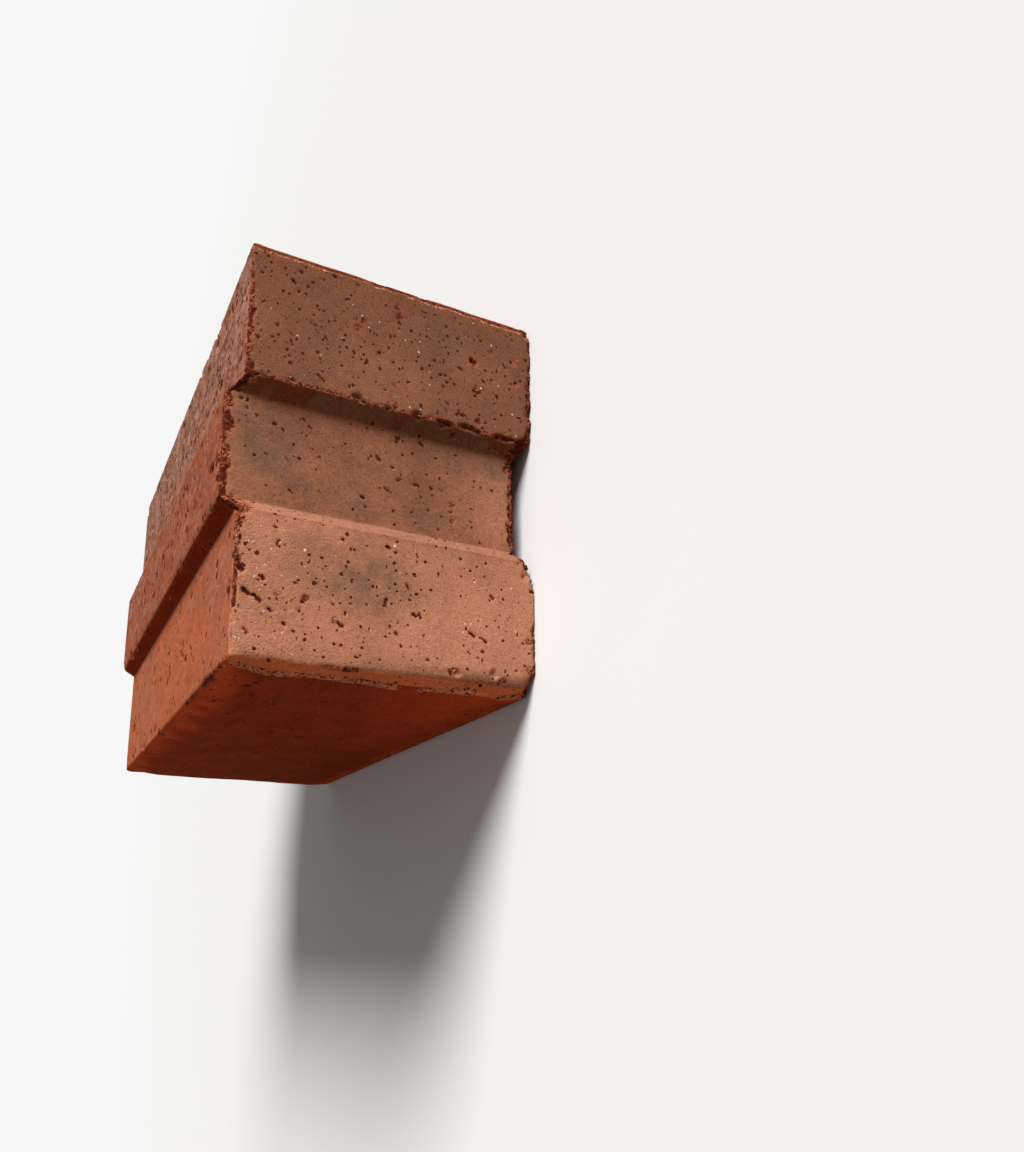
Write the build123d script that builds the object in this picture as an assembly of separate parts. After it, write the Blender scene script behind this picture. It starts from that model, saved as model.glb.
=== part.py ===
from build123d import *
import math
import os

# Interlocking mud brick, one pressed and fired block of clay, in millimetres.
# It lies as it is laid in a wall: grooved bed down, tongued bed up, grooved end towards +X.
# The origin is under the middle of its overall length, on the plane that it rests on.

# Block, measured over its flat bearing bands and its outer faces
block_length = 305.0
block_width = 196.0
block_height = 140.0
block_arris_radius = 2.5

# Shallow bevel all round each outer face, which stands proud of the ends and beds
bevel_rise = 3.0
bevel_reach = 8.0

# Tongue, one raised ridge along the upper bed and down the -X end
tongue_top_width = 49.0
tongue_height = 6.5
tongue_lean = 42.0
tongue_arris_radius = 2.5
tongue_root_radius = 3.5

# Gap between a tongue and the groove that it enters, square to their faces
joint_gap = 0.5

# Flat left on each side of a ridge where it joins its body, and how far a cut runs past a face
shoulder_width = 0.25
cut_overrun = 5.0

# Half widths of the tongue, at its top and where its flanks meet the bearing bands
lean = math.radians(tongue_lean)
tongue_top_half = tongue_top_width / 2
tongue_base_half = tongue_top_half + tongue_height * math.tan(lean)

# Groove, the tongue's outline moved outwards by the joint gap
groove_depth = tongue_height + joint_gap
groove_mouth_half = tongue_base_half + joint_gap / math.cos(lean)
groove_floor_half = groove_mouth_half - groove_depth * math.tan(lean)
groove_root_radius = tongue_arris_radius + joint_gap
groove_lip_radius = tongue_root_radius - joint_gap

# The two ends of the block, with the whole brick centred over the origin
tongue_end_x = (tongue_height - block_length) / 2
groove_end_x = tongue_end_x + block_length
overall_length = block_length + tongue_height
overall_height = block_height + tongue_height


def section_along_x(start_x, face_z):
    """Plane for a section that runs along X, with its height measured up from a bed."""
    return Plane(origin=(start_x, 0, face_z), x_dir=(0, 1, 0), z_dir=(1, 0, 0))


def section_along_z(face_x, start_z):
    """Plane for a section that runs up Z, with its height measured towards -X from an end."""
    return Plane(origin=(face_x, 0, start_z), x_dir=(0, 1, 0), z_dir=(0, 0, 1))


def rounded_corners(section, across, height, radius):
    """The section with its two corners at that height, left and right of the middle, made round."""
    corners = [
        vertex
        for vertex in section.vertices()
        if math.isclose(abs(vertex.X), across, abs_tol=1e-6) and math.isclose(vertex.Y, height, abs_tol=1e-6)
    ]
    return fillet(corners, radius)


def ridge_section(base_half, top_half, height, root_radius, arris_radius, body_depth):
    """A leaning-sided ridge with soft roots and arrises, on a body that reaches body_depth below it."""
    root_reach = root_radius * math.tan((math.pi / 2 - lean) / 2)
    body_half = base_half + root_reach + shoulder_width
    right = [(top_half, height), (base_half, 0), (body_half, 0), (body_half, -body_depth)]
    left = [(-across, out) for across, out in reversed(right)]
    section = Sketch() + make_face(Polyline(*right, *left, close=True))
    section = rounded_corners(section, top_half, height, arris_radius)
    return rounded_corners(section, base_half, 0, root_radius)


def tongue_section(body_depth):
    """The tongue, standing on the middle of the block."""
    return ridge_section(
        tongue_base_half, tongue_top_half, tongue_height, tongue_root_radius, tongue_arris_radius, body_depth
    )


def groove_section():
    """The space that the groove clears, with its open side carried out past the bearing bands."""
    return ridge_section(
        groove_mouth_half, groove_floor_half, groove_depth, groove_lip_radius, groove_root_radius, cut_overrun
    )


def bevelled(block, side):
    """The block with the outer face on that side of the Y axis bevelled all round."""
    outer_face = block.faces().sort_by(Axis.Y)[side]
    return block.chamfer(bevel_reach, bevel_rise, outer_face.edges(), face=outer_face)


def rounded_block():
    """The block with bevelled outer faces, every arris rounded, and no tongue or groove yet."""
    middle = Location(((tongue_end_x + groove_end_x) / 2, 0, block_height / 2))
    block = Box(block_length, block_width, block_height)
    block = bevelled(bevelled(block, 0), -1)
    return middle * fillet(block.edges(), block_arris_radius)


def wrapped_tongue():
    """The tongue along the upper bed and down the end, mitred where the two runs share a corner."""
    bed_start = section_along_x(tongue_end_x - tongue_height, block_height)
    bed_run = extrude(bed_start * tongue_section(block_height - block_arris_radius), overall_length)
    end_start = section_along_z(tongue_end_x, block_arris_radius)
    end_run = extrude(end_start * tongue_section(block_length), overall_height - block_arris_radius)
    return bed_run & end_run


def bed_groove():
    """The cut along the lower bed, through both ends."""
    start = section_along_x(tongue_end_x - tongue_height - cut_overrun, 0)
    return extrude(start * groove_section(), overall_length + 2 * cut_overrun)


def end_groove():
    """The cut up the end, through both beds and through the upper tongue's end."""
    start = section_along_z(groove_end_x, -cut_overrun)
    return extrude(start * groove_section(), overall_height + 2 * cut_overrun)


def mud_brick():
    """The block with its wrapped tongue, cut by the two grooves that meet at the opposite corner."""
    return rounded_block() + wrapped_tongue() - bed_groove() - end_groove()


brick = mud_brick()
brick.label = "mud_brick"

os.makedirs("parts", exist_ok=True)
export_step(brick, "parts/mud_brick.step")
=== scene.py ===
import itertools
import math

import bpy
import numpy as np
from mathutils import Matrix, Vector


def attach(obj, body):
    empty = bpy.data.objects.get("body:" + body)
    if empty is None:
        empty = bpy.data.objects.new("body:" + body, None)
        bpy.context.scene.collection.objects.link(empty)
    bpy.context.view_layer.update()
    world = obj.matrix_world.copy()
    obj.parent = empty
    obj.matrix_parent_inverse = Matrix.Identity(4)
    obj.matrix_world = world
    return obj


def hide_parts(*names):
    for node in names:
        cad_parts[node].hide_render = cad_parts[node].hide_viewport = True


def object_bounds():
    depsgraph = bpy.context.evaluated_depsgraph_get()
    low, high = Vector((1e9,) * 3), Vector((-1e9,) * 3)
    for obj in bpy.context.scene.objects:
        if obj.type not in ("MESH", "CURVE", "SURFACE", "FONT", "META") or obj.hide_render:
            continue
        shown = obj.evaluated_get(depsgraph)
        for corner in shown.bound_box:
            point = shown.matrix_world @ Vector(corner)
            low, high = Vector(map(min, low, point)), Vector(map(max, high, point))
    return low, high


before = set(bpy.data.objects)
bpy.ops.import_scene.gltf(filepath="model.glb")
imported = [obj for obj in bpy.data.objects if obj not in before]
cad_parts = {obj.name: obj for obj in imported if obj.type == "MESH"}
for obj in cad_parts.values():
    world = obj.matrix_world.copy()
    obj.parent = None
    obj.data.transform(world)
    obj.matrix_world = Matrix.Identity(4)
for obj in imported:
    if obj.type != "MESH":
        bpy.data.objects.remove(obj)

# An interlocking mud brick, laid with its tongue up, and its grooved end nearest the camera.
# Shapes are worked out in millimetres in the brick's own frame and written to the mesh in metres.
MM = 0.001
cad_low, cad_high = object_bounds()
rng = np.random.default_rng(41)

# Sizes of the brick, in millimetres
TONGUE_HEIGHT = 6.5
TONGUE_TOP_HALF = 24.5
TONGUE_LEAN = math.radians(42)
JOINT_GAP = 0.5
BLOCK_ARRIS_RADIUS = 0.7
LIP_RADIUS = 1.0
CORNER_RADIUS = 1.3
# Margin that keeps the mesh inside the CAD model's box
SKIN = 0.03
# Outer faces stand proud of the ends behind a bevel, and curve away towards the beds
BEVEL_RISE = 3.0
END_BEVEL_REACH = 7.0
BED_CURVE_REACH = 20.0
# Distance square to the bevel, as a share of the distance straight across
BEVEL_SQUARENESS = 0.93
# Radii that the wear follows, wide enough for its deepest bites
SOFT_LIP_RADIUS = 3.4
SOFT_ARRIS_RADIUS = 7.0
# Points along each rounded corner of a ridge's outline
ARC_POINTS = 5
TINY = 1e-9

LOW = np.array(cad_low) / MM
HIGH = np.array(cad_high) / MM
TONGUED_END = LOW[0] + TONGUE_HEIGHT
GROOVED_END = HIGH[0]
OUTER_HALF = HIGH[1]
HALF_WIDTH = OUTER_HALF - BEVEL_RISE
UPPER_BED = HIGH[2] - TONGUE_HEIGHT
LOWER_BED = LOW[2]
MIDDLE = np.array([0, 0, (UPPER_BED + LOWER_BED) / 2])
ENDS, OUTER, BEDS = 0, 1, 2


# Noise

# Numbers that stir a cell's place and a seed into a random number
CELL_FACTORS = (374761393, 668265263, 3266489917)
SEED_FACTOR = 2654435761
STIRS = ((15, 2246822519), (13, 3266489917))
LAST_SHIFT, LARGEST = 16, 4294967295.0
# Keeps all cells' numbers above zero
CELL_SHIFT = 1000
LAYERED_GAIN = 1.4
CRACK_WIDTH = 0.5
FAR = 9.0


def ramp(low, high, value):
    share = np.clip((value - low) / (high - low), 0, 1)
    return share * share * (3 - 2 * share)


def fade_out(start, end, value):
    """1 below start, 0 above end, and smooth between."""
    return 1 - ramp(start, end, value)


def bell(value, middle, width):
    return np.exp(-((value - middle) / width) ** 2)


def scatter(cells, seed):
    """A fixed random number from 0 to 1 for each whole-numbered cell."""
    wide = cells.astype(np.uint64)
    mixed = sum(wide[:, axis] * factor for axis, factor in enumerate(CELL_FACTORS)) + seed * SEED_FACTOR
    mixed = mixed.astype(np.uint32)
    for shift, factor in STIRS:
        mixed = (mixed ^ (mixed >> np.uint32(shift))) * np.uint32(factor)
    return (mixed ^ (mixed >> np.uint32(LAST_SHIFT))) / LARGEST


def noise(points, size, seed):
    """Smooth noise from -1 to 1 with lumps of about that size."""
    scaled = points / size + CELL_SHIFT
    cell = np.floor(scaled).astype(np.int64)
    part = scaled - cell
    fade = part * part * part * (part * (part * 6 - 15) + 10)
    total = np.zeros(len(points))
    for corner in itertools.product((0, 1), repeat=3):
        weight = np.prod(np.where(corner, fade, 1 - fade), axis=1)
        total += weight * scatter(cell + corner, seed)
    return total * 2 - 1


def fractal(points, size, octaves, seed):
    """Noise with finer and finer lumps on it, from about -1 to 1."""
    total = np.zeros(len(points))
    strength, sum_strength = 1.0, 0.0
    for octave in range(octaves):
        total += strength * noise(points, size / 2**octave, seed + octave)
        sum_strength += strength
        strength *= 0.5
    return total / sum_strength * LAYERED_GAIN


def lumps(points, size, seed):
    """Rounded lumps packed side by side: 0 in the cracks between them, 1 on their tops."""
    scaled = points / size + CELL_SHIFT
    cell = np.floor(scaled).astype(np.int64)
    nearest = np.full(len(points), FAR)
    second = np.full(len(points), FAR)
    for corner in itertools.product((-1, 0, 1), repeat=3):
        other = cell + corner
        centre = other + np.stack([scatter(other, seed + axis) for axis in range(3)], axis=1)
        distance = np.linalg.norm(scaled - centre, axis=1)
        second = np.minimum(second, np.maximum(distance, nearest))
        nearest = np.minimum(nearest, distance)
    return ramp(0.0, CRACK_WIDTH, second - nearest)


# Form of the brick before any wear

def ridge_profile(base_half, top_half, height, root_radius, arris_radius):
    """Half a ridge's outline, from its middle outwards: distances and heights."""
    turn = math.pi / 2 - TONGUE_LEAN
    turns = np.linspace(0, turn, ARC_POINTS)
    along, drop = np.sin(turns), 1 - np.cos(turns)
    arris_middle = top_half - arris_radius * math.tan(turn / 2)
    root_middle = base_half + root_radius * math.tan(turn / 2)
    arris = np.stack([arris_middle + arris_radius * along, height - arris_radius * drop])
    root = np.stack([root_middle - root_radius * along, root_radius * drop])[:, ::-1]
    return np.concatenate([arris, root], axis=1)


lean_reach = math.tan(TONGUE_LEAN)
base_half = TONGUE_TOP_HALF + TONGUE_HEIGHT * lean_reach
groove_depth = TONGUE_HEIGHT + JOINT_GAP
mouth_half = base_half + JOINT_GAP / math.cos(TONGUE_LEAN)
floor_half = mouth_half - groove_depth * lean_reach


class Form:
    """The unworn brick, with tongue and grooves rounded by these radii."""

    def __init__(self, lip_radius, corner_radius):
        self.tongue = ridge_profile(base_half, TONGUE_TOP_HALF, TONGUE_HEIGHT, corner_radius, lip_radius)
        self.groove = ridge_profile(mouth_half, floor_half, groove_depth, lip_radius, corner_radius)

    def rise(self, y):
        return np.interp(np.abs(y), *self.tongue)

    def sink(self, y):
        return np.interp(np.abs(y), *self.groove)

    def gaps(self, points):
        """Distance outside the ends, the outer faces and the beds, negative inside."""
        x, y, z = points.T
        rise, sink = self.rise(y), self.sink(y)
        square_tongue, square_groove = squareness(y, self.tongue), squareness(y, self.groove)
        ends = np.maximum(
            (TONGUED_END + SKIN - rise - x) * square_tongue,
            (x - GROOVED_END + SKIN + sink) * square_groove,
        )
        beds = np.maximum(
            (z - UPPER_BED + SKIN - rise) * square_tongue,
            (LOWER_BED + sink - z) * square_groove,
        )
        outer = (np.abs(y) - outer_half(x, z) + SKIN) * BEVEL_SQUARENESS
        return np.stack([ends, outer, beds], axis=1)

    def outside(self, points, radius):
        """Distance outside the brick, with its arrises rounded to that radius."""
        gaps = self.gaps(points) + radius
        return np.minimum(gaps.max(axis=1), 0) + np.linalg.norm(np.maximum(gaps, 0), axis=1) - radius

    def outward(self, points, radius):
        """Directions that point straight out of the brick."""
        step = 0.05
        slopes = [
            self.outside(points + step * axis, radius) - self.outside(points - step * axis, radius)
            for axis in np.eye(3)
        ]
        direction = np.stack(slopes, axis=1)
        return direction / np.maximum(np.linalg.norm(direction, axis=1, keepdims=True), TINY)


def outer_half(x, z):
    """Half the brick's width at a place on its outer faces."""
    from_end = np.minimum(GROOVED_END - x, x - TONGUED_END) / END_BEVEL_REACH
    from_bed = np.minimum(UPPER_BED - z, z - LOWER_BED) / BED_CURVE_REACH
    end_drop = np.clip(1 - from_end, 0, 1)
    bed_drop = np.clip(1 - from_bed, 0, 1) ** 2
    return OUTER_HALF - BEVEL_RISE * np.maximum(end_drop, bed_drop)


def squareness(y, profile):
    """How much nearer a leaning flank is than the straight way along its height."""
    across = np.abs(y)
    step = 0.2
    slope = (np.interp(across + step, *profile) - np.interp(across - step, *profile)) / (2 * step)
    return 1 / np.sqrt(1 + slope * slope)


CRISP = Form(LIP_RADIUS, CORNER_RADIUS)
SOFT = Form(SOFT_LIP_RADIUS, SOFT_LIP_RADIUS)


def onto_brick(points):
    """The points, moved straight onto the unworn surface."""
    for _ in range(2):
        away = CRISP.outside(points, BLOCK_ARRIS_RADIUS)
        points = points - CRISP.outward(points, BLOCK_ARRIS_RADIUS) * away[:, None]
    return points


# Pits, left where grit and air came out of the clay

def face_point(side, sign, first, second):
    """Point on the unworn face whose outward axis is side."""
    if side == ENDS:
        y, z = first, second
        x = GROOVED_END - CRISP.sink(y) if sign > 0 else TONGUED_END - CRISP.rise(y)
    elif side == OUTER:
        x, z = first, second
        y = sign * outer_half(x, z)
    else:
        x, y = first, second
        z = UPPER_BED + CRISP.rise(y) if sign > 0 else LOWER_BED + CRISP.sink(y)
    return np.array([float(x), float(y), float(z)])


FACE_SPANS = {
    ENDS: ((-HALF_WIDTH, HALF_WIDTH), (LOWER_BED, UPPER_BED)),
    OUTER: ((TONGUED_END, GROOVED_END), (LOWER_BED, UPPER_BED)),
    BEDS: ((TONGUED_END, GROOVED_END), (-HALF_WIDTH, HALF_WIDTH)),
}
# Way that the clay of the ends was dragged, in radians from the brick's width
DRAG_DIRECTION = -2.25
# For each face: its axis and sign, pits, crumbled spots, least radius, spread of radii,
# how far pits are drawn out, and the direction that they are drawn in
PITTED_FACES = (
    (ENDS, 1, 200, 4, 0.44, 0.15, 0.6, DRAG_DIRECTION),
    (ENDS, -1, 60, 4, 0.6, 0.3, 0.8, DRAG_DIRECTION),
    (OUTER, 1, 60, 5, 0.7, 0.3, 0.8, 0.3),
    (OUTER, -1, 40, 3, 0.6, 0.25, 1.2, 0.1),
    (BEDS, 1, 210, 6, 0.95, 0.45, 0.7, 0.0),
    (BEDS, -1, 40, 3, 0.8, 0.3, 0.7, 0.0),
)
# Share of the pits that lie in their face's direction, and how far those stray from it
LEANING_SHARE, LEAN_SPREAD = 0.6, 0.35
# Most spreads in a radius, most radii in half a stroke, largest radius that deepens, depths in radii
MOST_SPREADS, LONGEST_STROKE = 2.5, 1.8
DEEPENING_RADIUS, DEPTH_SHARES = 1.3, (0.6, 0.95)
# Share of the tongued bed's pits that keep to its rough side
ROUGH_SIDE_SHARE = 0.6
SPOT_RADII = (1.2, 2.6)
# How far pits keep off the flanks, and how far their rims wander
FLANK_MARGIN, PIT_WANDER = 1.5, 0.6
# Crumbled spots seen on the near end: distance across the brick, height and radius
NEAR_END_SPOTS = (
    (77, 119, 1.6), (67, 91, 2.3), (72, 88, 1.5), (85, 71, 2.2), (80, 71, 2.4), (81, 36, 2.2),
    (68, 32, 2.6), (76, 22, 2.0), (62, 9, 2.0), (74, 10, 1.8), (87, 118, 1.5), (43, 72, 1.8),
    (36, 30, 2.2), (37, 46, 1.8), (-6, 40, 1.6), (-10, 40.5, 1.4), (-15, 40, 1.7), (-20, 39.5, 1.4),
    (-66, 110, 2.0), (-73, 97, 2.0), (-89, 42, 2.4), (-92, 18, 3.0), (-70, 3, 2.6), (-84, 3, 2.2),
)
# Single pits seen there: distance across, height, radius, half a stroke's length and depth
NEAR_END_HOLES = (
    (81, 121, 0.8, 0.6, 1.2), (68, 33, 1.2, 0.6, 1.3), (-57, 137.5, 1.2, 0.9, 1.8),
    (-67, 134.5, 0.9, 1.6, 1.0), (-69, 130, 0.7, 1.8, 0.9), (-66, 61, 0.8, 0.8, 0.9),
    (-71, 33, 0.8, 0.9, 1.0), (-73, 27, 0.6, 1.3, 0.8), (-12, 84, 0.7, 0.7, 0.8),
    (-75, 95, 0.9, 1.0, 0.9), (-83, 134, 0.7, 0.9, 0.9), (37, 107, 0.7, 1.6, 0.9),
)


def on_flank(y):
    return floor_half - FLANK_MARGIN < abs(y) < mouth_half + FLANK_MARGIN


class Pits:
    """Small holes, each a short stroke: a middle, half its length, a radius and a depth."""

    def __init__(self):
        self.rows = []

    def add(self, side, sign, first, second, radius, half_length, turn, depth):
        if side != OUTER and on_flank(first if side == ENDS else second):
            return
        stroke = half_length * np.array([math.cos(turn), math.sin(turn)])
        place = face_point(side, sign, first, second)
        self.rows.append((*place, side, *stroke, radius, depth))

    def add_single(self, side, sign, first, second, least, spread, drawn_out, direction):
        radius = least + min(rng.exponential(spread), MOST_SPREADS * spread)
        leans = rng.random() < LEANING_SHARE
        turn = direction + rng.normal(0, LEAN_SPREAD) if leans else rng.uniform(0, math.pi)
        half_length = radius * min(rng.exponential(drawn_out), LONGEST_STROKE)
        depth = min(radius, DEEPENING_RADIUS) * rng.uniform(*DEPTH_SHARES)
        self.add(side, sign, first, second, radius, half_length, turn, depth)

    def finish(self):
        table = np.array(self.rows)
        self.places, self.sides, self.strokes = table[:, :3], table[:, 3].astype(int), table[:, 4:6]
        self.radii, self.depths = table[:, 6], table[:, 7]
        self.extents = self.radii + np.linalg.norm(self.strokes, axis=1)


def make_pits_and_spots():
    """All the pits, and the places, radii and strengths of the crumbled spots."""
    pits = Pits()
    spots = [(face_point(ENDS, 1, across, height), radius, 1) for across, height, radius in NEAR_END_SPOTS]
    for across, height, radius, half_length, depth in NEAR_END_HOLES:
        pits.add(ENDS, 1, across, height, radius, half_length, DRAG_DIRECTION, depth)
    for side, sign, singles, crumbled, *shape in PITTED_FACES:
        first_span, second_span = FACE_SPANS[side]
        for _ in range(singles):
            first, second = rng.uniform(*first_span), rng.uniform(*second_span)
            if side == BEDS and sign > 0 and rng.random() < ROUGH_SIDE_SHARE:
                second = rng.uniform(-TONGUE_TOP_HALF, HALF_WIDTH)
            pits.add_single(side, sign, first, second, *shape)
        for _ in range(crumbled):
            first, second = rng.uniform(*first_span), rng.uniform(*second_span)
            spots.append((face_point(side, sign, first, second), rng.uniform(*SPOT_RADII), 1))
    pits.finish()
    return pits, spots


PITS, SPOTS = make_pits_and_spots()


def near_pits(points, reach):
    """Points that lie within reach of each pit, with the pit's number."""
    order = np.argsort(points[:, 0])
    along = points[order, 0]
    for pit, place in enumerate(PITS.places):
        extent = PITS.extents[pit] + reach
        start, end = np.searchsorted(along, (place[0] - extent, place[0] + extent))
        found = order[start:end]
        found = found[np.abs(points[found] - place).max(axis=1) < extent]
        if len(found):
            yield found, pit


def from_stroke(points, pit):
    """Distance from a pit's stroke, in the plane of its face."""
    offset = np.delete(points - PITS.places[pit], PITS.sides[pit], axis=1)
    stroke = PITS.strokes[pit]
    along = np.clip(offset @ stroke / max(stroke @ stroke, 1e-6), -1, 1)
    return np.linalg.norm(offset - along[:, None] * stroke, axis=1)


def pit_depth(points):
    depth = np.zeros(len(points))
    ragged = 0.5 * noise(points, 1.0, 11)
    for found, pit in near_pits(points, PIT_WANDER):
        reached = from_stroke(points[found], pit) / PITS.radii[pit] + ragged[found]
        depth[found] = np.maximum(depth[found], PITS.depths[pit] * fade_out(0.55, 1.05, reached))
    return depth


# Crumbled arrises, lips and chips

# Crumbled bands of the near end's arrises with the two beds: places across, and reaches
TONGUED_BAND = (
    (-95, -80, -66, -56, -40, -34, -29, -20, 0, 20, 32, 40, 62, 78, 88, 95),
    (0.5, 0.9, 1.7, 2.4, 2.2, 4.6, 5.8, 4.8, 4.2, 4.8, 4.4, 3.0, 2.8, 2.0, 0.8, 0.4),
)
GROOVED_BAND = (
    (-95, -86, -78, -66, -60, -36, -31, -20, 10, 26, 34, 46, 56, 64, 80, 95),
    (0.8, 2.2, 1.0, 2.6, 0.5, 0.4, 1.4, 4.0, 4.6, 5.6, 4.6, 1.6, 3.0, 2.6, 1.0, 2.0),
)


def seen_reach(band):
    return lambda points: np.interp(points[:, 1], *band)


def plain_reach(low, high, seed):
    """A crumbled band whose width wanders between low and high."""
    def reach(points):
        share = ramp(-0.15, 0.85, fractal(points, 24, 2, seed))
        return low + (high - low) * share

    return reach


# Arrises: two pairs of faces, the signs of both, and the crumbled band's reach
ARRISES = (
    (ENDS, BEDS, 1, 1, seen_reach(TONGUED_BAND)),
    (ENDS, BEDS, 1, -1, seen_reach(GROOVED_BAND)),
    (ENDS, OUTER, 1, 1, plain_reach(1.2, 2.4, 61)),
    (ENDS, OUTER, 1, -1, plain_reach(0.2, 1.6, 63)),
    (ENDS, BEDS, -1, 1, plain_reach(0.5, 4.0, 65)),
    (ENDS, BEDS, -1, -1, plain_reach(0.6, 4.0, 67)),
    (ENDS, OUTER, -1, 1, plain_reach(0.6, 4.2, 69)),
    (ENDS, OUTER, -1, -1, plain_reach(0.5, 3.5, 71)),
    (BEDS, OUTER, 1, 1, plain_reach(0.6, 3.4, 73)),
    (BEDS, OUTER, 1, -1, plain_reach(0.2, 1.8, 75)),
    (BEDS, OUTER, -1, 1, plain_reach(0.5, 3.0, 77)),
    (BEDS, OUTER, -1, -1, plain_reach(0.3, 2.6, 79)),
)
# Chips knocked off: place, radius and depth
CHIPS = (
    ((155, 48, 1), 4.0, 1.8), ((155, 58, 0), 3.0, 1.2), ((155, 33, 1), 4.5, 2.0),
    ((155, 93, 1), 4.5, 1.8), ((155, 73, 0), 3.0, 1.1), ((155, 83, 0), 2.4, 0.9),
    ((155, -33, -1), 10.0, 4.0), ((150, -24, 1), 3.0, 1.2), ((155, -93, 1), 4.0, 1.4),
    ((155, -31, 139), 4.5, 2.0), ((155, 31, 138), 3.5, 1.6), ((155, -88, 22), 3.2, 1.2),
    ((155, -90, 40), 3.0, 0.9), ((-149, 92, 138), 6.0, 2.6), ((-149, -90, 2), 7.0, 3.0),
    ((-155, -24, 146), 4.0, 1.8), ((40, 94, 139), 5.0, 2.0), ((-70, -94, 139), 5.0, 1.8),
    ((-20, -94, 1), 6.0, 2.2), ((90, 94, 1), 5.0, 2.0),
)
# The fold of clay that ends the bevel along the near end, on both outer faces
FOLD_PLACE = 6.6
FOLD_DEPTH = 1.3
# Radius that the near end's arris with the -Y face is rubbed to
ROUNDED_RADIUS = 8.0
# Widest crumbled band, and the reach from which bites have their full depth
WIDEST_BAND = 9
FULL_BITE_REACH = 2.5
# Depth under the outer faces past which the tongue and the grooves lie
MIDDLE_BAND = 20


def distance_from(place, points):
    return np.linalg.norm(points - place, axis=1)


def near_half(points):
    return points[:, 0] > 0


def crumble(points, depths):
    """Clay lost along the arrises, how crumbled each place is, and how deep its cracks are."""
    centred = points - MIDDLE
    grains = 1 - lumps(points, 1.9, 31)
    crumbs = 1 - lumps(points, 1.0, 35)
    broken = ramp(-0.35, 0.75, fractal(points, 3.2, 3, 37))
    cracks = np.clip(0.5 * broken + 0.55 * grains * (0.3 + broken) + 0.25 * crumbs, 0, 1.2)
    jag = 1.0 + 0.45 * noise(points, 2.6, 25) + 0.45 * noise(points, 8, 27)
    lost = np.zeros(len(points))
    crumbled = np.zeros(len(points))
    for first, second, first_sign, second_sign, reach_of in ARRISES:
        distance = np.maximum(depths[first], depths[second])
        on_side = (centred[:, first] * first_sign > 0) & (centred[:, second] * second_sign > 0)
        here = np.nonzero(on_side & (distance < WIDEST_BAND))[0]
        reach = np.maximum(reach_of(points[here]) * jag[here], 0.2)
        inside = fade_out(0.6, 1.05, distance[here] / reach)
        bitten = inside * np.minimum(reach / FULL_BITE_REACH, 1) * (0.05 + 1.25 * cracks[here])
        lost[here] = np.maximum(lost[here], bitten)
        crumbled[here] = np.maximum(crumbled[here], inside * ramp(0.7, 1.6, reach))
    return lost, crumbled, cracks


def strongest(points, marks, ragged, start, end):
    """Strength of the strongest mark at each point, from rows of a place, a radius and a strength."""
    strength = np.zeros(len(points))
    for place, radius, most in marks:
        reached = distance_from(place, points) / radius + ragged
        strength = np.maximum(strength, most * fade_out(start, end, reached))
    return strength


def in_groove(points, depths):
    """Where a surface point belongs to the grooved end or the grooved bed."""
    on_end = (depths[ENDS] < 2) & near_half(points)
    on_bed = (depths[BEDS] < 2) & (points[:, 2] < MIDDLE[2])
    return on_end | on_bed


def lip_bites(points, depths):
    """Ragged breaks along the grooves' lips and the tongue's arrises, and how crumbly each place is."""
    grooved = in_groove(points, depths)
    line = np.where(grooved, mouth_half + 0.3, TONGUE_TOP_HALF - 0.3)
    from_line = np.abs(points[:, 1]) - line
    hanging = grooved == (points[:, 1] > 0)
    stretches = ramp(-0.6, 0.3, noise(points, 30, 95))
    broken = ramp(-0.05, 0.8, fractal(points, 6, 3, 91)) * stretches
    reach = np.where(hanging, 0.8 + 2.0 * broken, 0.5 + 0.9 * broken)
    deepest = np.where(hanging, 0.3 + 1.7 * broken, 0.5 * broken)
    ridged = (depths[OUTER] > MIDDLE_BAND).astype(float)
    near_end = (depths[ENDS] < 2.5) & near_half(points)
    strength = np.where(near_end, 0.85, 0.45) * np.where(hanging, 1, 0.4) * ridged
    ragged = np.abs(from_line + 0.5 * noise(points, 2.5, 93))
    crumbly = strength * fade_out(0.3, 1.3, ragged / 1.1)
    return ridged * deepest * fade_out(0.55, 1.0, np.abs(from_line) / reach), crumbly


def top_step(points, depths):
    """Sunken band along the near end's upper arris, where a flake came away, and a line along its edge
    that is painted pale as a highlight.
    """
    wave = 0.5 * noise(points, 9, 97) + 0.25 * noise(points, 2.2, 99)
    from_edge = depths[OUTER] + wave
    near_end = ramp(1.6, 0.6, depths[ENDS]) * near_half(points) * (points[:, 1] > 0)
    return near_end * fade_out(2.0, 2.5, from_edge), near_end * bell(from_edge, middle=2.9, width=0.5)


def fold(points, depths):
    """The fold on the outer faces: how far the bevel is set back before it, and its torn lip."""
    on_outer = (depths[OUTER] < 2.2) & near_half(points)
    same_along = points * (0, 1, 1)
    wave = 3.4 * noise(same_along, 30, 101) + 1.0 * noise(points, 4.5, 103)
    from_step = depths[ENDS] - (FOLD_PLACE + wave)
    set_back = np.clip(depths[ENDS] / FOLD_PLACE, 0, 1) * fade_out(-0.2, 0.3, from_step)
    uneven = 1.0 + 0.45 * noise(points, 7, 109)
    stretches = ramp(-1.0, 0.1, noise(points, 12, 105))
    lip = bell(from_step, middle=0.7, width=2.1 * uneven) * stretches
    tail = on_outer * ramp(0.5, 4, depths[BEDS])
    strength = np.where(points[:, 1] < 0, 1.0, 0.35)
    return tail * set_back * FOLD_DEPTH * strength, tail * lip * strength


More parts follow.
